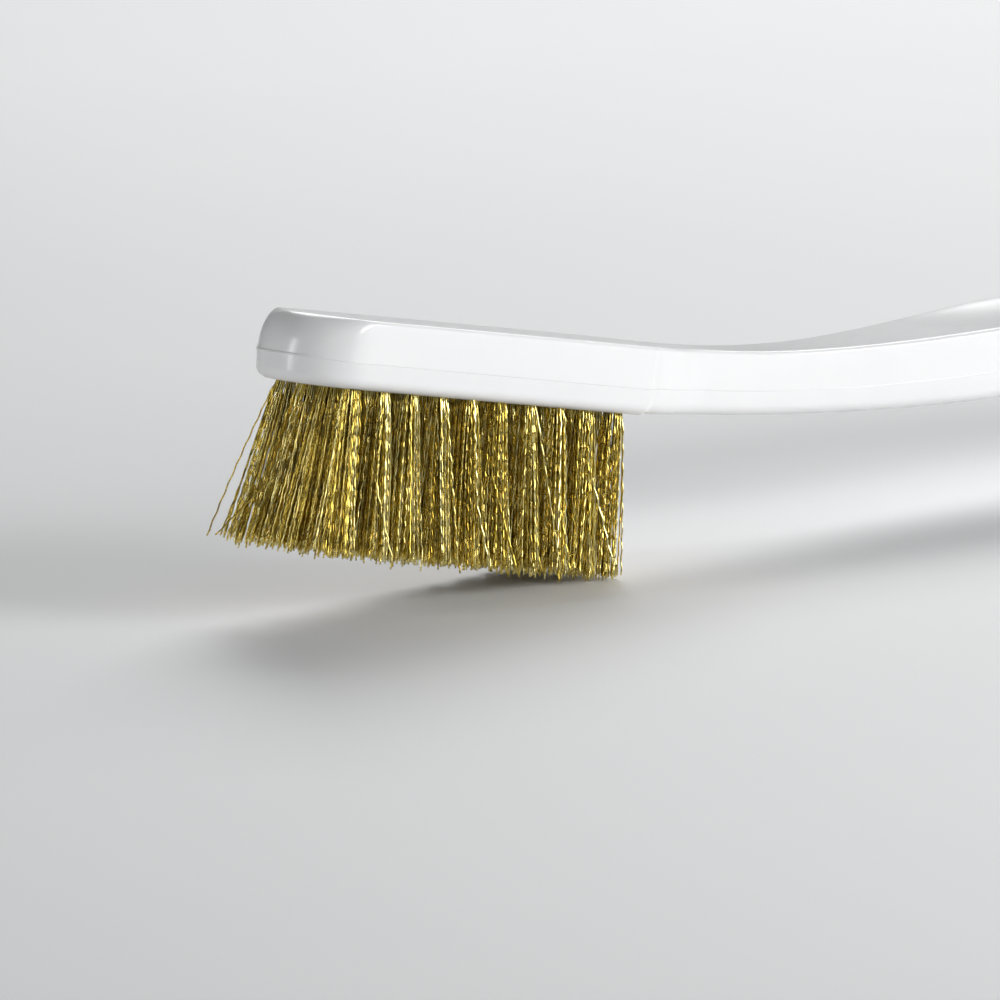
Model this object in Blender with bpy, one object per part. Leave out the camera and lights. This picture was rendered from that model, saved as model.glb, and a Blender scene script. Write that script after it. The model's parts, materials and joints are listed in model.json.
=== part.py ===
"""A small brass wire hand brush: a one-piece moulded handle, and tufts of wire held by driven anchor plates.

Each tuft is a bundle of wires folded round an anchor plate, and is one solid with its plate. It stands in a
blind hole in the head, and the plate's two ends stand in slits beside the hole. The brush rests on the tips of
its heel tufts and on the end of its handle. Everything hangs under one empty, which tilts the brush to that pose.
The brush's own frame has X from the nose to the tail, Z out of the back of the head, and Z = 0 on the face that
the tufts stand in.
"""

import bmesh
import bpy
import math
from collections import namedtuple
from mathutils import Matrix, Vector

MM = 0.001

# Overall lengths along the brush.
LENGTH = 178.0 * MM
HEAD_LENGTH = 44.8 * MM
HEAD_STEP_LENGTH = 1.0 * MM
NECK_START = 53.0 * MM
NECK_END = 63.0 * MM
GRIP_START = 106.0 * MM
GRIP_MIDDLE = 125.0 * MM
TAIL_START = 171.5 * MM

# Half widths in plan.
HEAD_HALF = 6.25 * MM
HEAD_HEEL_HALF = 6.05 * MM
NECK_HALF = 3.1 * MM
GRIP_HALF = 6.8 * MM
GRIP_MIDDLE_HALF = 6.4 * MM
TAIL_HALF = 6.5 * MM

# Thickness of the moulding, and how far the face steps up behind the head.
HEAD_THICK = 6.6 * MM
NECK_THICK = 6.15 * MM
GRIP_THICK = 7.05 * MM
TAIL_THICK = 5.6 * MM
FACE_STEP = 0.2 * MM

# Slope of the handle's lower side: level along the head, then up, then down again at the tail.
SLOPE_PEAK_AT = 100.0 * MM
SLOPE_PEAK = 0.208
SLOPE_TAIL = -0.139

# Edges of the cross-section: a broad shoulder round the nose, and tight edges along the back.
NOSE_TOP_ROUND = 2.4 * MM
NOSE_SHOULDER_HEIGHT = 3.8 * MM
NOSE_BLEND = 7.0 * MM
HEAD_TOP_ROUND = 0.4 * MM
NECK_TOP_ROUND = 0.4 * MM
GRIP_TOP_ROUND = 0.5 * MM
TAIL_TOP_ROUND = 1.2 * MM
TOP_ROUND_STEPS = 4
FACE_ROUND = 1.2 * MM
FACE_ROUND_STEPS = 3
PARTING_HEIGHT = 0.39
DRAFT = 0.12 * MM
TOP_COLUMNS = 3

# Thumb dish on the back of the grip.
DISH_MIDDLE = 104.0 * MM
DISH_HALF_LENGTH = 16.0 * MM
DISH_DEPTH = 0.55 * MM

# Hanging hole near the tail, a long hole with round ends.
HANG_AT = 169.0 * MM
HANG_RADIUS = 3.0 * MM
HANG_STRAIGHT = 3.0 * MM
HANG_ARC_STEPS = 10

# Tufts: four rows side by side, each with its place across the head.
FIRST_TUFT_AT = 6.2 * MM
PITCH = 4.0 * MM
TUFTS_IN_ROW = 10
ROWS = {"near": -4.2 * MM, "near_middle": -1.4 * MM, "far_middle": 1.4 * MM, "far": 4.2 * MM}
TUFT_RADIUS = 0.88 * MM
TUFT_TIP_RADIUS = 1.55 * MM
TUFT_LENGTH = 15.5 * MM
TUFT_SIDES = 8
TUFT_RINGS_OUTSIDE = 4
FOLD_TOP = 4.1 * MM
FOLD_SHOULDER = 3.75 * MM
FOLD_TOP_RADIUS = 0.62 * MM

# How the tufts lean: a little back along the head, forwards at the nose end, and outwards in the outer rows.
LEAN_BACK = 0.10
LEAN_NOSE = {"near": 0.12, "near_middle": 0.22, "far_middle": 0.28, "far": 0.23}
LEAN_NOSE_FADE = 8.0 * MM
LEAN_HEEL = 0.08
LEAN_HEEL_FADE = 5.0 * MM
LEAN_OUTWARD = 0.05

# Anchor plates, the stretch of the fold that they cross, and the hole with its two slits.
ANCHOR_WIDTH = 2.3 * MM
ANCHOR_THICK = 0.3 * MM
ANCHOR_LOW = 1.85 * MM
ANCHOR_HIGH = 3.25 * MM
CROSSING_LOW = 1.7 * MM
CROSSING_HIGH = 3.4 * MM
ANCHOR_TURN = math.radians(45.0)
HOLE_RADIUS = 1.0 * MM
HOLE_DEPTH = 4.4 * MM
SLIT_HALF_WIDTH = 1.27 * MM
SLIT_HALF_THICK = 0.27 * MM
HOLE_ARC_STEPS = 6
CUT_PAST = 1.0 * MM

NOSE_ARC_STEPS = 9
TAIL_ARC_STEPS = 8
GRIP_STATIONS = 26
NECK_STATIONS = 7


def clear_scene():
    for thing in list(bpy.data.objects):
        bpy.data.objects.remove(thing, do_unlink=True)


def make_material(name, colour, roughness, metallic):
    material = bpy.data.materials.new(name)
    material.use_nodes = True
    shader = material.node_tree.nodes["Principled BSDF"]
    shader.inputs["Base Color"].default_value = (*colour, 1.0)
    shader.inputs["Roughness"].default_value = roughness
    shader.inputs["Metallic"].default_value = metallic
    return material


def make_object(name, bm, material, parent):
    bmesh.ops.recalc_face_normals(bm, faces=bm.faces)
    mesh = bpy.data.meshes.new(name)
    bm.to_mesh(mesh)
    bm.free()
    mesh.materials.append(material)
    thing = bpy.data.objects.new(name, mesh)
    bpy.context.scene.collection.objects.link(thing)
    thing.parent = parent
    return thing


def ease(t):
    """0 to 1 with level ends, for t from 0 to 1."""
    t = min(max(t, 0.0), 1.0)
    return t * t * (3.0 - 2.0 * t)


def between(x, stops):
    """Value at x on a smooth line through stops, a list of (place, value)."""
    for (x0, v0), (x1, v1) in zip(stops, stops[1:]):
        if x <= x1:
            return v0 + (v1 - v0) * ease((x - x0) / (x1 - x0))
    return stops[-1][1]


def half_width(x):
    """Half width in plan between the round nose and the round tail."""
    step_end = HEAD_LENGTH + HEAD_STEP_LENGTH
    stops = [
        (0.0, HEAD_HALF),
        (HEAD_LENGTH, HEAD_HALF),
        (step_end, HEAD_HEEL_HALF),
        (NECK_START + 3.0 * MM, NECK_HALF),
        (NECK_END, NECK_HALF),
        (GRIP_START, GRIP_HALF),
        (GRIP_MIDDLE, GRIP_MIDDLE_HALF),
        (TAIL_START, TAIL_HALF),
    ]
    return between(x, stops)


def thickness(x):
    stops = [
        (0.0, HEAD_THICK),
        (HEAD_LENGTH, HEAD_THICK),
        (HEAD_LENGTH + HEAD_STEP_LENGTH, HEAD_THICK - FACE_STEP),
        (NECK_END, NECK_THICK),
        (SLOPE_PEAK_AT, GRIP_THICK),
        (LENGTH, TAIL_THICK),
    ]
    return between(x, stops)


def top_round(x):
    """How far the rounded edge of the back reaches in."""
    stops = [
        (0.0, NOSE_TOP_ROUND),
        (NOSE_BLEND, HEAD_TOP_ROUND),
        (HEAD_LENGTH - PITCH, HEAD_TOP_ROUND),
        (NECK_END, NECK_TOP_ROUND),
        (GRIP_START, GRIP_TOP_ROUND),
        (GRIP_MIDDLE, GRIP_TOP_ROUND),
        (TAIL_START, TAIL_TOP_ROUND),
    ]
    return between(x, stops)


def shoulder_height(x):
    """How far the rounded edge of the back reaches down."""
    return between(x, [(0.0, NOSE_SHOULDER_HEIGHT), (NOSE_BLEND, top_round(x))])


def rise(x):
    """Height of the moulding's lower side above the face that the tufts stand in."""
    height = FACE_STEP * ease((x - HEAD_LENGTH) / HEAD_STEP_LENGTH)
    up = min(max(x - HEAD_LENGTH, 0.0), SLOPE_PEAK_AT - HEAD_LENGTH)
    height += SLOPE_PEAK * up * up / (2.0 * (SLOPE_PEAK_AT - HEAD_LENGTH))
    on = max(x - SLOPE_PEAK_AT, 0.0)
    bend = (SLOPE_TAIL - SLOPE_PEAK) / (LENGTH - SLOPE_PEAK_AT)
    return height + SLOPE_PEAK * on + bend * on * on / 2.0


def dish(x, side):
    """Depth of the thumb dish at x, and at side, the share of the flat top's half width."""
    along = max(0.0, 1.0 - ((x - DISH_MIDDLE) / DISH_HALF_LENGTH) ** 2)
    across = max(0.0, 1.0 - side * side)
    return DISH_DEPTH * along * across


def plan_outline():
    """Points of one side of the plan outline from nose to tail, each with its outward normal."""
    points = []
    for i in range(NOSE_ARC_STEPS + 1):
        turn = math.pi / 2.0 * i / NOSE_ARC_STEPS
        normal = Vector((-math.cos(turn), math.sin(turn)))
        points.append((Vector((HEAD_HALF, 0.0)) + normal * HEAD_HALF, normal))
    stations = [NOSE_BLEND, HEAD_LENGTH, HEAD_LENGTH + HEAD_STEP_LENGTH / 2.0, HEAD_LENGTH + HEAD_STEP_LENGTH]
    neck_length = NECK_END - stations[-1]
    stations += [stations[-1] + neck_length * i / NECK_STATIONS for i in range(1, NECK_STATIONS)]
    grip_length = TAIL_START - NECK_END
    stations += [NECK_END + grip_length * i / GRIP_STATIONS for i in range(GRIP_STATIONS)]
    reach = 0.1 * MM
    for x in stations:
        slope = (half_width(x + reach) - half_width(x - reach)) / (2.0 * reach)
        points.append((Vector((x, half_width(x))), Vector((-slope, 1.0)).normalized()))
    for i in range(TAIL_ARC_STEPS + 1):
        turn = math.pi / 2.0 * i / TAIL_ARC_STEPS
        normal = Vector((math.sin(turn), math.cos(turn)))
        points.append((Vector((TAIL_START, 0.0)) + normal * TAIL_HALF, normal))
    return points


Level = namedtuple("Level", "draft face_inset top_inset share above below")


def edge_profile():
    """Levels of the wall from the face up.

    A level stands in from the outline by its shares of the draft, of the face's round and of the top's round.
    Its height is its share of the thickness, and shares of the two rounds above the face or below the top.
    """
    levels = []
    for i in range(FACE_ROUND_STEPS + 1):
        turn = math.pi / 2.0 * i / FACE_ROUND_STEPS
        levels.append(Level(1.0, 1.0 - math.sin(turn), 0.0, 0.0, 1.0 - math.cos(turn), 0.0))
    levels.append(Level(0.0, 0.0, 0.0, PARTING_HEIGHT, 0.0, 0.0))
    for i in range(TOP_ROUND_STEPS + 1):
        turn = math.pi / 2.0 * i / TOP_ROUND_STEPS
        levels.append(Level(1.0, 0.0, 1.0 - math.cos(turn), 1.0, 0.0, 1.0 - math.sin(turn)))
    return levels


def add_ring(bm, outline, level):
    """One closed ring of the wall, as its far side and its near side, which share the nose and tail points."""
    far = []
    near = []
    for point, normal in outline:
        inset = level.draft * DRAFT + level.face_inset * FACE_ROUND + level.top_inset * top_round(point.x)
        x, y = point - normal * inset
        y = max(y, 0.0)
        z = rise(point.x) + thickness(point.x) * level.share
        z += level.above * FACE_ROUND - level.below * shoulder_height(point.x)
        far.append(bm.verts.new((x, y, z)))
        if y < 1e-7:
            near.append(far[-1])
        else:
            near.append(bm.verts.new((x, -y, z)))
    return far, near


def join_strips(bm, lower, upper, flip):
    """Quads between two lines of points, or triangles where both lines share an end point."""
    for i in range(len(lower) - 1):
        corners = [lower[i], lower[i + 1], upper[i + 1], upper[i]]
        corners = list(dict.fromkeys(corners))
        if flip:
            corners.reverse()
        if len(corners) > 2:
            bm.faces.new(corners)


def add_cap(bm, ring, columns, with_dish):
    """Closes a ring with lines of points that run from nose to tail between its two sides."""
    far, near = ring
    lines = [far]
    for step in range(1, 2 * columns):
        share = 1.0 - step / columns
        line = [far[0]]
        for i in range(1, len(far) - 1):
            x, y, z = far[i].co
            drop = dish(x, share) if with_dish else 0.0
            line.append(bm.verts.new((x, y * share, z - drop)))
        line.append(far[-1])
        lines.append(line)
    lines.append(near)
    for first, second in zip(lines, lines[1:]):
        join_strips(bm, first, second, False)


def handle_solid():
    """The moulding without its holes: rings of the plan outline stacked up the wall, closed by two caps."""
    bm = bmesh.new()
    outline = plan_outline()
    rings = [add_ring(bm, outline, level) for level in edge_profile()]
    for lower, upper in zip(rings, rings[1:]):
        join_strips(bm, lower[0], upper[0], False)
        join_strips(bm, lower[1], upper[1], True)
    add_cap(bm, rings[0], 1, False)
    add_cap(bm, rings[-1], TOP_COLUMNS, True)
    return bm


def add_prism(bm, outline, low, high):
    """An upright prism on a closed outline of plan points."""
    bottom = [bm.verts.new((p.x, p.y, low)) for p in outline]
    top = [bm.verts.new((p.x, p.y, high)) for p in outline]
    count = len(outline)
    bm.faces.new(list(reversed(bottom)))
    bm.faces.new(top)
    for i in range(count):
        j = (i + 1) % count
        bm.faces.new((bottom[i], bottom[j], top[j], top[i]))


def hole_outline(place):
    """A round hole with a slit on both sides, turned to the anchor's direction."""
    half_gap = math.asin(SLIT_HALF_THICK / HOLE_RADIUS)
    points = []
    for side in (0.0, math.pi):
        for i in range(HOLE_ARC_STEPS + 1):
            turn = side + half_gap + (math.pi - 2.0 * half_gap) * i / HOLE_ARC_STEPS
            points.append(Vector((math.cos(turn), math.sin(turn))) * HOLE_RADIUS)
        end = -1.0 if side == 0.0 else 1.0
        points.append(Vector((end * SLIT_HALF_WIDTH, -end * SLIT_HALF_THICK)))
        points.append(Vector((end * SLIT_HALF_WIDTH, end * SLIT_HALF_THICK)))
    turned = Matrix.Rotation(ANCHOR_TURN, 2)
    return [turned @ p + place for p in points]


def hang_outline():
    """A long hole with round ends, along the brush."""
    points = []
    for side in (1.0, -1.0):
        centre = Vector((HANG_AT + side * HANG_STRAIGHT / 2.0, 0.0))
        for i in range(HANG_ARC_STEPS + 1):
            turn = math.pi * i / HANG_ARC_STEPS - math.pi / 2.0
            points.append(centre + side * HANG_RADIUS * Vector((math.cos(turn), math.sin(turn))))
    return points


def tuft_places():
    """Name and plan place of every tuft."""
    places = []
    for row, across in ROWS.items():
        for i in range(TUFTS_IN_ROW):
            place = Vector((FIRST_TUFT_AT + i * PITCH, across))
            places.append((row, f"{row}_{i + 1:02d}", place))
    return places


def tuft_lean(row, place):
    """Sideways travel of a tuft for each unit that it stands out of the face."""
    last = FIRST_TUFT_AT + (TUFTS_IN_ROW - 1) * PITCH
    nose = LEAN_NOSE[row] * math.exp(-(place.x - FIRST_TUFT_AT) / LEAN_NOSE_FADE)
    heel = LEAN_HEEL * math.exp(-(last - place.x) / LEAN_HEEL_FADE)
    return Vector((LEAN_BACK - nose - heel, LEAN_OUTWARD * place.y / ROWS["far"]))


def tuft_rings(lean):
    """The tuft from its fold to its tips: (height, radius, sideways place)."""
    rings = [
        (FOLD_TOP, FOLD_TOP_RADIUS, Vector((0.0, 0.0))),
        (FOLD_SHOULDER, TUFT_RADIUS, Vector((0.0, 0.0))),
        (CROSSING_HIGH, TUFT_RADIUS, Vector((0.0, 0.0))),
        (CROSSING_LOW, TUFT_RADIUS, Vector((0.0, 0.0))),
        (0.0, TUFT_RADIUS, Vector((0.0, 0.0))),
    ]
    reach = TUFT_LENGTH / math.sqrt(1.0 + lean.length_squared)
    for i in range(1, TUFT_RINGS_OUTSIDE + 1):
        share = i / TUFT_RINGS_OUTSIDE
        radius = TUFT_RADIUS + (TUFT_TIP_RADIUS - TUFT_RADIUS) * share
        rings.append((-reach * share, radius, lean * reach * share))
    return rings


def tuft_solid(lean):
    """A bundle of wires as one solid, with the anchor's two ends standing out of its sides."""
    bm = bmesh.new()
    crossing = 2
    anchor_sides = (TUFT_SIDES // 2 - 1, TUFT_SIDES - 1)
    rings = []
    for height, radius, shift in tuft_rings(lean):
        ring = []
        for i in range(TUFT_SIDES):
            turn = ANCHOR_TURN + (i + 0.5) * 2.0 * math.pi / TUFT_SIDES
            point = shift + radius * Vector((math.cos(turn), math.sin(turn)))
            ring.append(bm.verts.new((point.x, point.y, height)))
        rings.append(ring)
    bm.faces.new(rings[0])
    bm.faces.new(list(reversed(rings[-1])))
    for level, (upper, lower) in enumerate(zip(rings, rings[1:])):
        for i in range(TUFT_SIDES):
            j = (i + 1) % TUFT_SIDES
            wall = [upper[i], lower[i], lower[j], upper[j]]
            if level == crossing and i in anchor_sides:
                turn = ANCHOR_TURN + (i + 1) * 2.0 * math.pi / TUFT_SIDES
                add_anchor_end(bm, wall, Vector((math.cos(turn), math.sin(turn))))
            else:
                bm.faces.new(wall)
    return bm


def add_anchor_end(bm, wall, outwards):
    """One side of a tuft as a frame of four faces, with the end of the anchor standing out of it."""
    aside = Vector((-outwards.y, outwards.x)) * ANCHOR_THICK / 2.0
    rings = [wall]
    for reach in (TUFT_RADIUS * math.cos(math.pi / TUFT_SIDES), ANCHOR_WIDTH / 2.0):
        right_edge = outwards * reach - aside
        left_edge = outwards * reach + aside
        corners = [
            (right_edge.x, right_edge.y, ANCHOR_HIGH),
            (right_edge.x, right_edge.y, ANCHOR_LOW),
            (left_edge.x, left_edge.y, ANCHOR_LOW),
            (left_edge.x, left_edge.y, ANCHOR_HIGH),
        ]
        rings.append([bm.verts.new(corner) for corner in corners])
    for inner, outer in zip(rings, rings[1:]):
        for i in range(4):
            j = (i + 1) % 4
            bm.faces.new((inner[i], inner[j], outer[j], outer[i]))
    bm.faces.new(rings[-1])


def make_handle(parent, places, material):
    handle = make_object("handle", handle_solid(), material, parent)
    cutter = bmesh.new()
    for _, _, place in places:
        add_prism(cutter, hole_outline(place), -CUT_PAST, HOLE_DEPTH)
    tail_low = rise(HANG_AT)
    add_prism(cutter, hang_outline(), tail_low - 3.0 * CUT_PAST, tail_low + TAIL_THICK + 3.0 * CUT_PAST)
    holes = make_object("hole_cutter", cutter, material, parent)
    holes.hide_render = True
    holes.display_type = "WIRE"
    cut = handle.modifiers.new("holes", "BOOLEAN")
    cut.operation = "DIFFERENCE"
    cut.solver = "EXACT"
    cut.object = holes
    handle.data.shade_smooth()
    handle.data.set_sharp_from_angle(angle=math.radians(35.0))
    return handle


def make_tufts(parent, places, material):
    tufts = []
    for row, name, place in places:
        tuft = make_object("tuft_" + name, tuft_solid(tuft_lean(row, place)), material, parent)
        tuft.location = (place.x, place.y, 0.0)
        tuft.data.shade_smooth()
        tuft.data.set_sharp_from_angle(angle=math.radians(50.0))
        tufts.append(tuft)
    return tufts


def corner_points(things):
    """Every point of the pieces in the brush's own frame."""
    points = []
    for thing in things:
        for vertex in thing.data.vertices:
            points.append(vertex.co + thing.location)
    return points


def resting_tilt(points):
    """Angle that brings the heel tufts' tips and the end of the handle down to one level."""
    heel = max((p for p in points if p.z < -TUFT_LENGTH / 2.0), key=lambda p: p.x - p.z)
    behind = [p for p in points if p.x > HEAD_LENGTH]
    return min(math.atan2(p.z - heel.z, p.x - heel.x) for p in behind)


def rest_on_floor(frame, points):
    """Tilts the brush to its resting pose and puts the middle of its base on the origin."""
    frame.rotation_euler = (0.0, resting_tilt(points), 0.0)
    tilted = [frame.rotation_euler.to_matrix() @ p for p in points]
    low = [min(p[axis] for p in tilted) for axis in range(3)]
    high = [max(p[axis] for p in tilted) for axis in range(3)]
    frame.location = (-(low[0] + high[0]) / 2.0, -(low[1] + high[1]) / 2.0, -low[2])


def main():
    clear_scene()
    plastic = make_material("white_plastic", (0.86, 0.87, 0.87), 0.28, 0.0)
    wire = make_material("brass_wire", (0.72, 0.50, 0.16), 0.25, 1.0)
    frame = bpy.data.objects.new("brush_frame", None)
    bpy.context.scene.collection.objects.link(frame)
    places = tuft_places()
    handle = make_handle(frame, places, plastic)
    tufts = make_tufts(frame, places, wire)
    rest_on_floor(frame, corner_points([handle] + tufts))


main()
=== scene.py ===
"""The looks of a small brass wire hand brush: a moulded white handle, and tufts of crimped brass wire.

Places are worked out in the brush's own frame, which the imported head_back mount fixes: X runs from the nose
to the tail, Z out of the back of the head, and Z = 0 is the face that the tufts stand in. Lengths are in
metres.
"""

import json
import math
import random
from collections import namedtuple

import bmesh
import bpy
import numpy as np
from mathutils import Matrix, Vector


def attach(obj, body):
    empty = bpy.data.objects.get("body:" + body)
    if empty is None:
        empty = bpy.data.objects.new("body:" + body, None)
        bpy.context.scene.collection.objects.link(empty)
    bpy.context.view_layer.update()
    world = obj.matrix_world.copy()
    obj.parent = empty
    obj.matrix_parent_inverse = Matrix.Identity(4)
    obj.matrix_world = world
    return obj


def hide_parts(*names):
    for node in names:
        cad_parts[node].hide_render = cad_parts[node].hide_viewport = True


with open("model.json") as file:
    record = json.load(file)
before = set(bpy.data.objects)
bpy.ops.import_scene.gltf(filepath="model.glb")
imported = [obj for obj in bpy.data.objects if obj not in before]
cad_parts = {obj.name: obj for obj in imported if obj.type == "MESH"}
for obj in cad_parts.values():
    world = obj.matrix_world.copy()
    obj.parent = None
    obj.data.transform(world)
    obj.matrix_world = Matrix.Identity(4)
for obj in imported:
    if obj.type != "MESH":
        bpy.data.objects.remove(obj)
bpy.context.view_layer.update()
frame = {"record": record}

MM = 0.001

# The moulding's driving sizes, as the CAD has them.
LENGTH = 178.0 * MM
HEAD_LENGTH = 44.8 * MM
HEAD_STEP_LENGTH = 1.0 * MM
NECK_START = 56.0 * MM
NECK_END = 63.0 * MM
SLOPE_PEAK_AT = 100.0 * MM
SLOPE_PEAK = 0.208
SLOPE_TAIL = -0.139
GRIP_START = 106.0 * MM
GRIP_MIDDLE = 125.0 * MM
TAIL_START = 171.5 * MM
HEAD_HALF = 6.25 * MM
HEAD_HEEL_HALF = 6.05 * MM
NECK_HALF = 3.1 * MM
GRIP_HALF = 6.8 * MM
GRIP_MIDDLE_HALF = 6.4 * MM
TAIL_HALF = 6.5 * MM
HEAD_THICK = 6.6 * MM
NECK_THICK = 6.15 * MM
GRIP_THICK = 7.05 * MM
TAIL_THICK = 5.6 * MM
FACE_STEP = 0.2 * MM
FACE_ROUND = 1.2 * MM
NOSE_TOP_ROUND = 2.4 * MM
NOSE_SHOULDER_HEIGHT = 3.8 * MM
NOSE_BLEND = 7.0 * MM
HEAD_TOP_ROUND = 0.4 * MM
NECK_TOP_ROUND = 0.4 * MM
GRIP_TOP_ROUND = 0.5 * MM
TAIL_TOP_ROUND = 1.2 * MM
DRAFT = 0.12 * MM
PARTING_HEIGHT = 0.39
DISH_MIDDLE = 104.0 * MM
DISH_HALF_LENGTH = 16.0 * MM
DISH_DEPTH = 0.55 * MM
HANG_AT = 169.0 * MM
HANG_RADIUS = 3.0 * MM
HANG_STRAIGHT = 3.0 * MM

# How finely the moulding is drawn: its round ends, the stations along it, its two rounded edges, the columns
# across its back and the holes.
END_ARC_STEPS = 28
HEAD_STATION = 1.0 * MM
STEP_STATION = 0.1 * MM
HANDLE_STATION = 0.6 * MM
SLOPE_REACH = 0.1 * MM
FACE_ROUND_STEPS = 8
TOP_ROUND_STEPS = 12
TOP_COLUMNS = 8
HOLE_ARC_STEPS = 14
HANG_ARC_STEPS = 24
SHARP_ANGLE = math.radians(30.0)

# How far the holes' cutters stand out of the moulding.
HOLE_CUT_PAST = 1.0 * MM
HANG_CUT_BELOW = 3.0 * MM
HANG_CUT_ABOVE = 9.0 * MM

# The wall's draft at its levels, as shares of DRAFT, and the mould's parting line. SEAM_LINE holds places
# across the line, in steps of SEAM_STEP of the thickness, and how proud the line is there, as a share of
# SEAM_HEIGHT.
FACE_DRAFT = 1.6
LOWER_WALL_DRAFT = 0.45
TOP_DRAFT = 1.0
SEAM_STEP = 0.008
SEAM_HEIGHT = 0.012 * MM
SEAM_LINE = ((-1.6, 0.0), (-0.8, 0.25), (-0.3, 1.0), (0.3, 1.0), (0.8, 0.35), (1.6, 0.0))

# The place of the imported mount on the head's back, in the brush's own frame.
MOUNT_PLACE = Vector((25.0 * MM, 0.0, HEAD_THICK))

# The tufts, as the CAD has them.
FIRST_TUFT_AT = 6.2 * MM
PITCH = 4.0 * MM
TUFTS_IN_ROW = 10
ROWS = {"near": -4.2 * MM, "near_middle": -1.4 * MM, "far_middle": 1.4 * MM, "far": 4.2 * MM}
LEAN_BACK = 0.10
LEAN_NOSE = {"near": 0.12, "near_middle": 0.22, "far_middle": 0.28, "far": 0.23}
LEAN_NOSE_FADE = 8.0 * MM
LEAN_HEEL = 0.08
LEAN_HEEL_FADE = 5.0 * MM
LEAN_OUTWARD = 0.05
ANCHOR_TURN = math.radians(45.0)
ANCHOR_WIDTH = 2.3 * MM
ANCHOR_THICK = 0.3 * MM
ANCHOR_LOW = 1.85 * MM
ANCHOR_HIGH = 3.25 * MM
HOLE_RADIUS = 1.0 * MM
HOLE_DEPTH = 4.4 * MM
SLIT_HALF_WIDTH = 1.27 * MM
SLIT_HALF_THICK = 0.27 * MM

# The wires of one tuft. Each wire is folded round the anchor plate, so it has two ends. BULGE is how much
# wider the bundle grows just outside the hole, as a share of its root, and the two RANGEs are shares of their
# driving sizes. LOOSE_POWER keeps most wires close to their tuft's lean.
WIRE_ROWS = 5
WIRES_PER_TUFT = 30
WIRE_RADIUS = 0.080 * MM
WIRE_SIDES = 6
WIRE_STEP = 0.33 * MM
WIRE_LENGTH = 15.5 * MM
LENGTH_SPREAD = 0.33 * MM
BUNDLE_RADIUS = 0.90 * MM
FIRST_WIRE_ROW = 0.4
MEAN_REACH = 0.78
ROOT_JITTER = 0.03 * MM
ANCHOR_CLEARANCE = 0.25 * MM
FOLD_LEG_HEIGHTS = (1.1 * MM, 2.2 * MM)
FOLD_HEIGHT = 3.3 * MM
FOLD_ROUNDNESS = 0.72
FOLD_STEPS = 6
BULGE = 0.14
BULGE_LENGTH = 1.5 * MM
TIP_SPREAD = 0.58 * MM
NOSE_TIP_SPREAD = 0.45 * MM
CRIMP_LENGTH = 1.7 * MM
CRIMP_DEPTH = 0.052 * MM
CRIMP_FROM = 0.6 * MM
CRIMP_LENGTH_RANGE = (0.85, 1.15)
CRIMP_DEPTH_RANGE = (0.4, 1.4)
WANDER = 0.20 * MM
WANDER_POWER = 1.5
BOW = 0.10 * MM
LOOSE_LEAN = 0.06
LOOSE_POWER = 3
STRAY_SQUEEZE = 0.9
SEED = 11

# Single wires that stand away from their tuft: the tuft, where the wire stands across it, how much it leans
# across, where along it a kink is, and how much more it leans after the kink. ACROSS and TOWARD are plan
# directions, at 45 degrees to the brush.
ACROSS = Vector((math.cos(ANCHOR_TURN), -math.sin(ANCHOR_TURN)))
TOWARD = Vector((-math.cos(ANCHOR_TURN), -math.sin(ANCHOR_TURN)))
STRAYS = [
    ("far_01", -0.80 * MM, -0.17, 1.0, 0.0),
    ("far_01", -0.76 * MM, -0.11, 1.0, 0.0),
    ("far_01", 0.88 * MM, 0.04, 1.0, 0.0),
    ("far_middle_01", -0.88 * MM, -0.05, 1.0, 0.0),
    ("far_middle_01", -0.30 * MM, 0.02, 0.50, -0.62),
    ("near_02", 0.10 * MM, 0.00, 0.50, 0.24),
    ("near_05", 0.50 * MM, 0.03, 0.62, 0.20),
    ("near_06", -0.25 * MM, 0.00, 0.42, 0.30),
    ("near_06", 0.05 * MM, 0.00, 0.50, 0.29),
    ("near_07", 0.80 * MM, 0.19, 1.0, 0.0),
    ("near_07", -0.10 * MM, 0.02, 0.66, 0.16),
    ("near_08", 0.40 * MM, 0.02, 0.55, 0.22),
    ("near_09", -0.85 * MM, 0.33, 1.0, 0.0),
    ("near_middle_10", 0.88 * MM, 0.05, 1.0, 0.0),
    ("near_10", -0.88 * MM, -0.05, 1.0, 0.0),
    ("near_10", -0.86 * MM, -0.02, 1.0, 0.0),
]


def own_frame():
    """The brush's own frame in the row frame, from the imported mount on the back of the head."""
    mount = next(m for m in frame["record"]["mounts"] if m["name"] == "head_back")
    tilt = math.atan2(mount["axis"][0], mount["axis"][2])
    turn = Matrix.Rotation(tilt, 4, "Y")
    return Matrix.Translation(Vector(mount["pos_m"]) - turn @ MOUNT_PLACE) @ turn


def ease(t):
    t = min(max(t, 0.0), 1.0)
    return t * t * (3.0 - 2.0 * t)


def between(x, stops):
    """Value at x on a smooth line through stops, a list of (place, value)."""
    if x <= stops[0][0]:
        return stops[0][1]
    for (x0, v0), (x1, v1) in zip(stops, stops[1:]):
        if x <= x1:
            return v0 + (v1 - v0) * ease((x - x0) / (x1 - x0))
    return stops[-1][1]


def half_width(x):
    step_end = HEAD_LENGTH + HEAD_STEP_LENGTH
    stops = [
        (HEAD_LENGTH, HEAD_HALF),
        (step_end, HEAD_HEEL_HALF),
        (NECK_START, NECK_HALF),
        (NECK_END, NECK_HALF),
        (GRIP_START, GRIP_HALF),
        (GRIP_MIDDLE, GRIP_MIDDLE_HALF),
        (TAIL_START, TAIL_HALF),
    ]
    return between(x, stops)


def thickness(x):
    stops = [
        (HEAD_LENGTH, HEAD_THICK),
        (HEAD_LENGTH + HEAD_STEP_LENGTH, HEAD_THICK - FACE_STEP),
        (NECK_END, NECK_THICK),
        (SLOPE_PEAK_AT, GRIP_THICK),
        (LENGTH, TAIL_THICK),
    ]
    return between(x, stops)


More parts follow.
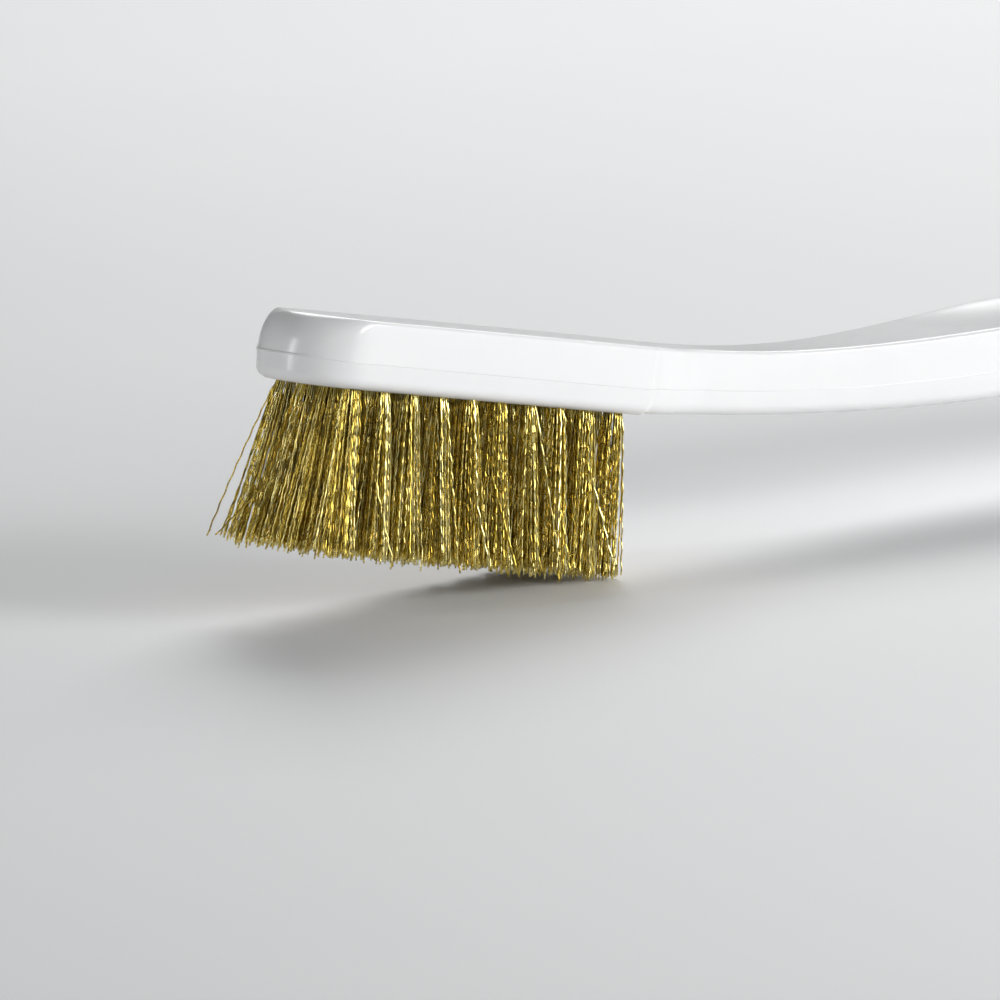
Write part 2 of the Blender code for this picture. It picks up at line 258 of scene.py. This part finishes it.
def top_round(x):
    """How far the rounded edge of the back reaches in."""
    stops = [
        (0.0, NOSE_TOP_ROUND),
        (NOSE_BLEND, HEAD_TOP_ROUND),
        (HEAD_LENGTH - PITCH, HEAD_TOP_ROUND),
        (NECK_END, NECK_TOP_ROUND),
        (GRIP_START, GRIP_TOP_ROUND),
        (GRIP_MIDDLE, GRIP_TOP_ROUND),
        (TAIL_START, TAIL_TOP_ROUND),
    ]
    return between(x, stops)


def shoulder_height(x):
    """How far the rounded edge of the back reaches down."""
    return between(x, [(0.0, NOSE_SHOULDER_HEIGHT), (NOSE_BLEND, top_round(x))])


def rise(x):
    """Height of the moulding's lower side above the face that the tufts stand in."""
    height = FACE_STEP * ease((x - HEAD_LENGTH) / HEAD_STEP_LENGTH)
    up = min(max(x - HEAD_LENGTH, 0.0), SLOPE_PEAK_AT - HEAD_LENGTH)
    height += SLOPE_PEAK * up * up / (2.0 * (SLOPE_PEAK_AT - HEAD_LENGTH))
    on = max(x - SLOPE_PEAK_AT, 0.0)
    bend = (SLOPE_TAIL - SLOPE_PEAK) / (LENGTH - SLOPE_PEAK_AT)
    return height + SLOPE_PEAK * on + bend * on * on / 2.0


def dish(x, side):
    """Depth of the thumb dish at x, and at side, the share of the flat top's half width."""
    along = max(0.0, 1.0 - ((x - DISH_MIDDLE) / DISH_HALF_LENGTH) ** 2)
    across = max(0.0, 1.0 - side * side)
    return DISH_DEPTH * along * along * across


def even_steps(start, end, step):
    """Places from start up to, but not including, end."""
    count = max(1, round((end - start) / step))
    return [start + (end - start) * i / count for i in range(count)]


def plan_outline():
    """Points of one side of the plan outline from nose to tail, each with its outward normal."""
    points = []
    for i in range(END_ARC_STEPS + 1):
        turn = math.pi / 2.0 * i / END_ARC_STEPS
        normal = Vector((-math.cos(turn), math.sin(turn)))
        points.append((Vector((HEAD_HALF, 0.0)) + normal * HEAD_HALF, normal))
    stations = even_steps(HEAD_HALF + HEAD_STATION, HEAD_LENGTH, HEAD_STATION)
    stations += even_steps(HEAD_LENGTH, HEAD_LENGTH + HEAD_STEP_LENGTH, STEP_STATION)
    stations += even_steps(HEAD_LENGTH + HEAD_STEP_LENGTH, TAIL_START, HANDLE_STATION)
    for x in stations:
        slope = (half_width(x + SLOPE_REACH) - half_width(x - SLOPE_REACH)) / (2.0 * SLOPE_REACH)
        points.append((Vector((x, half_width(x))), Vector((-slope, 1.0)).normalized()))
    for i in range(END_ARC_STEPS + 1):
        turn = math.pi / 2.0 * i / END_ARC_STEPS
        normal = Vector((math.sin(turn), math.cos(turn)))
        points.append((Vector((TAIL_START, 0.0)) + normal * TAIL_HALF, normal))
    return points


# One level of the wall. All are shares: of the draft, of how far the rounds of the face and of the top reach
# in, of the thickness up to the level, of the rounds' heights above or below it, and of the seam's height.
Level = namedtuple("Level", "draft face_in top_in height above below proud", defaults=(0.0,) * 7)


def wall_levels():
    """The levels of the wall from the face up to the back."""
    levels = []
    for i in range(FACE_ROUND_STEPS + 1):
        turn = math.pi / 2.0 * i / FACE_ROUND_STEPS
        levels.append(Level(draft=FACE_DRAFT, face_in=1.0 - math.sin(turn), above=1.0 - math.cos(turn)))
    for offset, proud in SEAM_LINE:
        draft = LOWER_WALL_DRAFT if offset < 0.0 else 0.0
        levels.append(Level(draft=draft, height=PARTING_HEIGHT + offset * SEAM_STEP, proud=proud))
    for i in range(TOP_ROUND_STEPS + 1):
        turn = math.pi / 2.0 * i / TOP_ROUND_STEPS
        top_in = 1.0 - math.cos(turn)
        levels.append(Level(draft=TOP_DRAFT, top_in=top_in, height=1.0, below=1.0 - math.sin(turn)))
    return levels


def add_ring(bm, outline, level):
    """One ring of the wall, as its far side and its near side, which share the nose and tail points."""
    far = []
    near = []
    for point, normal in outline:
        inset = level.draft * DRAFT + level.face_in * FACE_ROUND + level.top_in * top_round(point.x)
        inset -= level.proud * SEAM_HEIGHT
        x, y = point - normal * inset
        y = max(y, 0.0)
        z = rise(point.x) + thickness(point.x) * level.height
        z += level.above * FACE_ROUND - level.below * shoulder_height(point.x)
        far.append(bm.verts.new((x, y, z)))
        near.append(far[-1] if y < 1e-7 else bm.verts.new((x, -y, z)))
    return far, near


def join_strips(bm, lower, upper, flip):
    """Quads between two lines of points, or triangles where both lines share an end point."""
    for i in range(len(lower) - 1):
        corners = [lower[i], lower[i + 1], upper[i + 1], upper[i]]
        corners = list(dict.fromkeys(corners))
        if flip:
            corners.reverse()
        if len(corners) > 2:
            bm.faces.new(corners)


def add_cap(bm, ring, columns, with_dish):
    """Closes a ring with lines of points that run from nose to tail between its two sides."""
    far, near = ring
    lines = [far]
    for step in range(1, 2 * columns):
        share = 1.0 - step / columns
        line = [far[0]]
        for i in range(1, len(far) - 1):
            x, y, z = far[i].co
            drop = dish(x, share) if with_dish else 0.0
            line.append(bm.verts.new((x, y * share, z - drop)))
        line.append(far[-1])
        lines.append(line)
    lines.append(near)
    for first, second in zip(lines, lines[1:]):
        join_strips(bm, first, second, False)


def moulding():
    bm = bmesh.new()
    outline = plan_outline()
    rings = [add_ring(bm, outline, level) for level in wall_levels()]
    for lower, upper in zip(rings, rings[1:]):
        join_strips(bm, lower[0], upper[0], False)
        join_strips(bm, lower[1], upper[1], True)
    add_cap(bm, rings[0], 1, False)
    add_cap(bm, rings[-1], TOP_COLUMNS, True)
    return bm


def add_prism(bm, low_outline, high_outline):
    """A closed solid between two outlines of points with the same count."""
    bottom = [bm.verts.new(p) for p in low_outline]
    top = [bm.verts.new(p) for p in high_outline]
    count = len(bottom)
    bm.faces.new(list(reversed(bottom)))
    bm.faces.new(top)
    for i in range(count):
        j = (i + 1) % count
        bm.faces.new((bottom[i], bottom[j], top[j], top[i]))


def hole_outline(place, height):
    """A round hole with a slit on both sides, turned to the anchor's direction."""
    half_gap = math.asin(SLIT_HALF_THICK / HOLE_RADIUS)
    points = []
    for side in (0.0, math.pi):
        for i in range(HOLE_ARC_STEPS + 1):
            turn = side + half_gap + (math.pi - 2.0 * half_gap) * i / HOLE_ARC_STEPS
            points.append(Vector((math.cos(turn), math.sin(turn))) * HOLE_RADIUS)
        end = -1.0 if side == 0.0 else 1.0
        points.append(Vector((end * SLIT_HALF_WIDTH, -end * SLIT_HALF_THICK)))
        points.append(Vector((end * SLIT_HALF_WIDTH, end * SLIT_HALF_THICK)))
    turned = Matrix.Rotation(ANCHOR_TURN, 2)
    return [(*(turned @ p + place), height) for p in points]


def hang_outline(height):
    """A long hole with round ends, along the brush."""
    points = []
    for side in (1.0, -1.0):
        for i in range(HANG_ARC_STEPS + 1):
            turn = math.pi * i / HANG_ARC_STEPS - math.pi / 2.0
            x = HANG_AT + side * (HANG_STRAIGHT / 2.0 + HANG_RADIUS * math.cos(turn))
            points.append((x, side * HANG_RADIUS * math.sin(turn), height))
    return points


def tuft_places():
    places = []
    for row, across in ROWS.items():
        for i in range(TUFTS_IN_ROW):
            place = Vector((FIRST_TUFT_AT + i * PITCH, across))
            places.append((row, f"{row}_{i + 1:02d}", place))
    return places


def tuft_lean(row, place):
    """Sideways travel of a tuft for each unit that it stands out of the face."""
    last = FIRST_TUFT_AT + (TUFTS_IN_ROW - 1) * PITCH
    nose = LEAN_NOSE[row] * math.exp(-(place.x - FIRST_TUFT_AT) / LEAN_NOSE_FADE)
    heel = LEAN_HEEL * math.exp(-(last - place.x) / LEAN_HEEL_FADE)
    return Vector((LEAN_BACK - nose - heel, LEAN_OUTWARD * place.y / ROWS["far"]))


def mesh_object(name, mesh, material, node):
    """Puts a mesh from the brush's own frame into the row frame, as the piece that stands for a CAD node."""
    mesh.transform(own)
    mesh.materials.append(material)
    thing = bpy.data.objects.new(name, mesh)
    bpy.context.scene.collection.objects.link(thing)
    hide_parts(node)
    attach(thing, "root")
    return thing


def finished_mesh(name, bm):
    bmesh.ops.recalc_face_normals(bm, faces=bm.faces)
    mesh = bpy.data.meshes.new(name)
    bm.to_mesh(mesh)
    bm.free()
    return mesh


def hole_cutters(places):
    """The blind holes of the tufts, and the hanging hole through the tail."""
    bm = bmesh.new()
    for _, _, place in places:
        add_prism(bm, hole_outline(place, -HOLE_CUT_PAST), hole_outline(place, HOLE_DEPTH))
    low = rise(HANG_AT)
    add_prism(bm, hang_outline(low - HANG_CUT_BELOW), hang_outline(low + HANG_CUT_ABOVE))
    return bm


def make_handle(places, material):
    """The moulding with its holes cut."""
    mesh = finished_mesh("moulded_handle", moulding())
    holes_mesh = finished_mesh("holes", hole_cutters(places))
    holes_mesh.transform(own)
    holes = bpy.data.objects.new("holes", holes_mesh)
    bpy.context.scene.collection.objects.link(holes)
    handle = mesh_object("moulded_handle", mesh, material, "handle")
    cut = handle.modifiers.new("holes", "BOOLEAN")
    cut.operation = "DIFFERENCE"
    cut.solver = "EXACT"
    cut.object = holes
    evaluated = handle.evaluated_get(bpy.context.evaluated_depsgraph_get())
    cut_mesh = bpy.data.meshes.new_from_object(evaluated)
    handle.modifiers.clear()
    handle.data = cut_mesh
    bpy.data.objects.remove(holes, do_unlink=True)
    handle.data.shade_smooth()
    handle.data.set_sharp_from_angle(angle=SHARP_ANGLE)


def fold_places(rng):
    """Where wires leave one half of the hole: (distance from the anchor's middle plane, place along it)."""
    places = []
    for row in range(WIRE_ROWS):
        out = WIRE_RADIUS + (BUNDLE_RADIUS - WIRE_RADIUS) * (row + FIRST_WIRE_ROW) / WIRE_ROWS
        reach = math.sqrt(BUNDLE_RADIUS ** 2 - out ** 2)
        count = max(2, round(WIRES_PER_TUFT / WIRE_ROWS * reach / (MEAN_REACH * BUNDLE_RADIUS)))
        for i in range(count):
            along = reach * ((i + 0.5) / count * 2.0 - 1.0)
            out_here = out + rng.uniform(-ROOT_JITTER, ROOT_JITTER)
            places.append((out_here, along + rng.uniform(-ROOT_JITTER, ROOT_JITTER)))
    return places


def leg_path(root, lean, fan, rng, kink=(1.0, Vector((0.0, 0.0)))):
    """One wire end from the face to its tip: it leans, fans out and is crimped. A kink is a share of the
    length and the lean from there on."""
    wander = Vector((rng.gauss(0.0, WANDER), rng.gauss(0.0, WANDER)))
    bow = Vector((rng.gauss(0.0, BOW), rng.gauss(0.0, BOW)))
    crimp_turn = rng.uniform(0.0, math.pi)
    crimp_way = Vector((math.cos(crimp_turn), math.sin(crimp_turn)))
    crimp_start = rng.uniform(0.0, 2.0 * math.pi)
    depth = CRIMP_DEPTH * rng.uniform(*CRIMP_DEPTH_RANGE)
    wave = CRIMP_LENGTH * rng.uniform(*CRIMP_LENGTH_RANGE)
    length = WIRE_LENGTH + rng.gauss(0.0, LENGTH_SPREAD)
    drop = length / math.sqrt(1.0 + lean.length_squared)
    count = round(drop / WIRE_STEP)
    points = []
    for i in range(count + 1):
        share = i / count
        down = drop * share
        side = root * (1.0 + BULGE * ease(down / BULGE_LENGTH))
        side += lean * down + fan * share + wander * share ** WANDER_POWER
        side += bow * math.sin(math.pi * share)
        side += kink[1] * max(share - kink[0], 0.0) * length
        grow = ease(down / CRIMP_FROM)
        side += crimp_way * depth * grow * math.sin(2.0 * math.pi * down / wave + crimp_start)
        points.append(Vector((side.x, side.y, -down)))
    return points


def fold_path(out, along, turned):
    """The hidden part of one folded wire: up one side of the anchor, over it and down the other side."""
    clear = ANCHOR_CLEARANCE + (out - WIRE_RADIUS) * (1.0 - ANCHOR_CLEARANCE / BUNDLE_RADIUS)
    points = [(clear, along, height) for height in FOLD_LEG_HEIGHTS]
    for i in range(FOLD_STEPS + 1):
        turn = math.pi * i / FOLD_STEPS
        height = FOLD_HEIGHT + FOLD_ROUNDNESS * clear * math.sin(turn)
        points.append((clear * math.cos(turn), along, height))
    points += [(-clear, along, height) for height in reversed(FOLD_LEG_HEIGHTS)]
    placed = []
    for across, beside, height in points:
        plan = turned @ Vector((beside, across))
        placed.append(Vector((plan.x, plan.y, height)))
    return placed


def stand_in_place(leg, place):
    """Moves one wire end to its tuft's place, and cuts off what would go into the floor."""
    moved = [point + place.to_3d() for point in leg]
    while (own @ moved[-1]).z < WIRE_RADIUS:
        moved.pop()
    return moved


def sweep(points, radius, sides, verts, faces):
    """Adds a closed tube along points. Its sides turn as little as they can from one point to the next."""
    path = np.array(points)
    tangent = np.gradient(path, axis=0)
    tangent /= np.linalg.norm(tangent, axis=1)[:, None]
    seed = np.array([1.0, 0.0, 0.0]) if abs(tangent[0][0]) < 0.8 else np.array([0.0, 1.0, 0.0])
    side = np.cross(tangent[0], seed)
    side /= np.linalg.norm(side)
    turns = 2.0 * np.pi * np.arange(sides) / sides
    base = len(verts)
    count = len(path)
    for i in range(count):
        side = side - tangent[i] * np.dot(side, tangent[i])
        side /= np.linalg.norm(side)
        other = np.cross(tangent[i], side)
        ring = path[i] + radius * (np.cos(turns)[:, None] * side + np.sin(turns)[:, None] * other)
        verts.extend(ring.tolist())
    for i in range(count - 1):
        low = base + i * sides
        for j in range(sides):
            k = (j + 1) % sides
            faces.append((low + j, low + k, low + sides + k, low + sides + j))
    faces.append(tuple(base + j for j in reversed(range(sides))))
    faces.append(tuple(base + (count - 1) * sides + j for j in range(sides)))


def add_anchor(place, turned, verts, faces):
    """The small plate that the wires are folded round."""
    base = len(verts)
    for height in (ANCHOR_LOW, ANCHOR_HIGH):
        for wide, thick in ((-1.0, -1.0), (1.0, -1.0), (1.0, 1.0), (-1.0, 1.0)):
            corner = place + turned @ Vector((wide * ANCHOR_WIDTH / 2.0, thick * ANCHOR_THICK / 2.0))
            verts.append((corner.x, corner.y, height))
    faces.append(tuple(base + i for i in (3, 2, 1, 0)))
    faces.append(tuple(base + i for i in (4, 5, 6, 7)))
    for i in range(4):
        j = (i + 1) % 4
        faces.append((base + i, base + j, base + 4 + j, base + 4 + i))


def make_tuft(row, name, place, rng, material):
    """One tuft of folded, crimped wires round their anchor."""
    lean = tuft_lean(row, place)
    turned = Matrix.Rotation(ANCHOR_TURN, 2)
    nose_share = math.exp(-(place.x - FIRST_TUFT_AT) / LEAN_NOSE_FADE)
    spread = (TIP_SPREAD + NOSE_TIP_SPREAD * nose_share) / BUNDLE_RADIUS
    verts = []
    faces = []
    add_anchor(place, turned, verts, faces)
    for out, along in fold_places(rng):
        legs = []
        for side in (1.0, -1.0):
            root = turned @ Vector((along, side * out))
            loose = Vector((rng.gauss(0.0, LOOSE_LEAN), rng.gauss(0.0, LOOSE_LEAN)))
            loose *= rng.random() ** LOOSE_POWER
            leg = leg_path(root, lean + loose, root * spread, rng)
            legs.append(stand_in_place(leg, place))
        fold = [point + place.to_3d() for point in fold_path(out, along, turned)]
        sweep(list(reversed(legs[0])) + fold + legs[1], WIRE_RADIUS, WIRE_SIDES, verts, faces)
    for tuft, across, lean_across, kink_at, kink_lean in STRAYS:
        if tuft == name:
            root = ACROSS * across + TOWARD * math.sqrt(BUNDLE_RADIUS ** 2 - across ** 2)
            kink = (kink_at, ACROSS * kink_lean)
            leg = leg_path(root, lean + ACROSS * lean_across, root * 0.0, rng, kink)
            start = Vector((root.x * STRAY_SQUEEZE, root.y * STRAY_SQUEEZE, FOLD_LEG_HEIGHTS[0]))
            start += place.to_3d()
            sweep([start] + stand_in_place(leg, place), WIRE_RADIUS, WIRE_SIDES, verts, faces)
    mesh = bpy.data.meshes.new("wires_" + name)
    mesh.from_pydata(verts, [], faces)
    mesh.update()
    mesh.shade_smooth()
    mesh_object("wires_" + name, mesh, material, "tuft_" + name)


NOISE_ROUGHNESS = 0.55
BRASS_DARK = (0.40, 0.29, 0.04)
BRASS_MIDDLE = (0.88, 0.69, 0.16)
BRASS_BRIGHT = (1.0, 0.92, 0.46)


def new_material(name):
    """A material, its nodes, its links and its shader."""
    material = bpy.data.materials.new(name)
    material.use_nodes = True
    nodes = material.node_tree.nodes
    return material, nodes, material.node_tree.links, nodes["Principled BSDF"]


def add_noise(nodes, links, scale, detail):
    """Fractal noise in the row frame's metres."""
    where = nodes.new("ShaderNodeTexCoord")
    noise = nodes.new("ShaderNodeTexNoise")
    noise.inputs["Scale"].default_value = scale
    noise.inputs["Detail"].default_value = detail
    noise.inputs["Roughness"].default_value = NOISE_ROUGHNESS
    links.new(where.outputs["Object"], noise.inputs["Vector"])
    return noise.outputs["Fac"]


def add_ramp(nodes, links, source, stops):
    """A colour for each value of source, through stops, a list of (value, colour)."""
    ramp = nodes.new("ShaderNodeValToRGB")
    elements = ramp.color_ramp.elements
    while len(elements) < len(stops):
        elements.new(0.5)
    for element, (place, colour) in zip(elements, stops):
        element.position = place
        element.color = (*colour, 1.0)
    links.new(source, ramp.inputs["Fac"])
    return ramp.outputs["Color"]


def add_range(nodes, links, source, low, high):
    """Spreads source from 0 and 1 to low and high."""
    spread = nodes.new("ShaderNodeMapRange")
    spread.inputs["To Min"].default_value = low
    spread.inputs["To Max"].default_value = high
    links.new(source, spread.inputs["Value"])
    return spread.outputs["Result"]


def plastic_material():
    """Glossy white moulded plastic with faint flow marks and a fine moulded skin."""
    material, nodes, links, shader = new_material("white_moulded_plastic")
    flow = add_noise(nodes, links, scale=60.0, detail=4.0)
    tint = add_ramp(nodes, links, flow, [(0.3, (0.855, 0.86, 0.868)), (0.7, (0.875, 0.878, 0.88))])
    links.new(tint, shader.inputs["Base Color"])
    skin = add_noise(nodes, links, scale=900.0, detail=6.0)
    links.new(add_range(nodes, links, skin, low=0.20, high=0.28), shader.inputs["Roughness"])
    bump = nodes.new("ShaderNodeBump")
    bump.inputs["Strength"].default_value = 0.05
    bump.inputs["Distance"].default_value = 0.02 * MM
    links.new(skin, bump.inputs["Height"])
    links.new(bump.outputs["Normal"], shader.inputs["Normal"])
    shader.inputs["IOR"].default_value = 1.49
    shader.inputs["Subsurface Weight"].default_value = 0.25
    shader.inputs["Subsurface Radius"].default_value = (1.2, 1.1, 1.0)
    shader.inputs["Subsurface Scale"].default_value = 0.6 * MM
    return material


def brass_material(name, dark, middle, bright):
    """Drawn brass wire: each wire has its own tone, and tarnish comes and goes along it."""
    material, nodes, links, shader = new_material(name)
    geometry = nodes.new("ShaderNodeNewGeometry")
    tones = [(0.0, dark), (0.45, middle), (1.0, bright)]
    tone = add_ramp(nodes, links, geometry.outputs["Random Per Island"], tones)
    tarnish = add_noise(nodes, links, scale=420.0, detail=3.0)
    shade = add_ramp(nodes, links, tarnish, [(0.35, (0.42, 0.38, 0.30)), (0.6, (1.0, 1.0, 1.0))])
    mix = nodes.new("ShaderNodeMix")
    mix.data_type = "RGBA"
    mix.blend_type = "MULTIPLY"
    mix.inputs["Factor"].default_value = 0.6
    links.new(tone, mix.inputs["A"])
    links.new(shade, mix.inputs["B"])
    links.new(mix.outputs["Result"], shader.inputs["Base Color"])
    links.new(add_range(nodes, links, tarnish, low=0.22, high=0.10), shader.inputs["Roughness"])
    shader.inputs["Metallic"].default_value = 1.0
    return material


def floor_material():
    """A pale matt surface with a faint grain."""
    material, nodes, links, shader = new_material("pale_floor")
    grain = add_noise(nodes, links, scale=12.0, detail=4.0)
    tint = add_ramp(nodes, links, grain, [(0.3, (0.87, 0.875, 0.88)), (0.7, (0.89, 0.892, 0.895))])
    links.new(tint, shader.inputs["Base Color"])
    shader.inputs["Roughness"].default_value = 0.6
    return material


FLOOR_SIZE = 6.0


def make_floor():
    bpy.ops.mesh.primitive_plane_add(size=FLOOR_SIZE)
    floor = bpy.context.object
    floor.name = "floor"
    floor.data.materials.append(floor_material())


def direction(azimuth, elevation):
    """Unit vector towards a place at that azimuth, counted as the camera's, and elevation in degrees."""
    a, e = math.radians(azimuth), math.radians(elevation)
    return Vector((math.sin(a) * math.cos(e), -math.cos(a) * math.cos(e), math.sin(e)))


def add_area(softbox, target):
    """One white softbox that looks at the target."""
    light = bpy.data.lights.new(softbox.name, "AREA")
    light.shape = "RECTANGLE"
    light.size, light.size_y = softbox.size
    light.energy = softbox.power
    lamp = bpy.data.objects.new(softbox.name, light)
    towards = direction(softbox.azimuth, softbox.elevation)
    lamp.location = target + towards * softbox.distance
    lamp.rotation_euler = towards.to_track_quat("Z", "Y").to_euler()
    bpy.context.scene.collection.objects.link(lamp)


# The softboxes: angles in degrees, distance and size in metres, power in watts. The key lights the near side,
# the strip draws the highlight down the nose, the back softbox throws the shadow, and the low panel shows in
# the grip's back.
Softbox = namedtuple("Softbox", "name azimuth elevation distance size power")
SOFTBOXES = [
    Softbox("key_softbox", 27.0, 17.0, 0.55, (0.34, 0.18), 2.5),
    Softbox("front_fill", -30.0, 30.0, 0.90, (0.30, 0.30), 0.35),
    Softbox("left_strip", -103.0, 14.0, 0.50, (0.06, 0.30), 0.7),
    Softbox("back_softbox", 126.0, 36.0, 0.60, (0.34, 0.34), 1.7),
    Softbox("low_back_panel", 134.0, 12.0, 0.80, (0.40, 0.28), 0.13),
]
SKY_COLOUR = (0.9, 0.95, 1.0, 1.0)
SKY_STRENGTH = 0.06


def make_lights(target):
    for softbox in SOFTBOXES:
        add_area(softbox, target)
    world = bpy.data.worlds.new("studio")
    world.use_nodes = True
    background = world.node_tree.nodes["Background"]
    background.inputs["Color"].default_value = SKY_COLOUR
    background.inputs["Strength"].default_value = SKY_STRENGTH
    bpy.context.scene.world = world
    bpy.context.scene.view_settings.view_transform = "Standard"


# The camera's angles, in degrees, its lens and sensor in millimetres, the width of its view at the brush, and
# what it looks at. The angles and the place are in the brush's own frame.
CAMERA_AZIMUTH = -46.6
CAMERA_ELEVATION = 2.0
CAMERA_ROLL = 7.1
SENSOR = 36.0
LENS = 1200.0
CLIP_START = 0.05
CLIP_END = 20.0
VIEW_WIDTH = 94.2 * MM
AIM = Vector((32.68 * MM, 0.0, -9.36 * MM))


def make_camera():
    data = bpy.data.cameras.new("camera")
    data.sensor_width = SENSOR
    data.lens = LENS
    data.clip_start = CLIP_START
    data.clip_end = CLIP_END
    camera = bpy.data.objects.new("camera", data)
    back = direction(CAMERA_AZIMUTH, CAMERA_ELEVATION)
    level = back.to_track_quat("Z", "Y").to_matrix()
    turn = own.to_3x3() @ level @ Matrix.Rotation(math.radians(CAMERA_ROLL), 3, "Z")
    camera.location = own @ (AIM + back * (VIEW_WIDTH * LENS / SENSOR))
    camera.rotation_euler = turn.to_euler()
    bpy.context.scene.collection.objects.link(camera)
    bpy.context.scene.camera = camera


own = own_frame()
rng = random.Random(SEED)
places = tuft_places()
make_handle(places, plastic_material())
wire = brass_material("brass_wire", BRASS_DARK, BRASS_MIDDLE, BRASS_BRIGHT)
for row, name, place in places:
    make_tuft(row, name, place, rng, wire)
make_floor()
make_lights(own @ AIM)
make_camera()
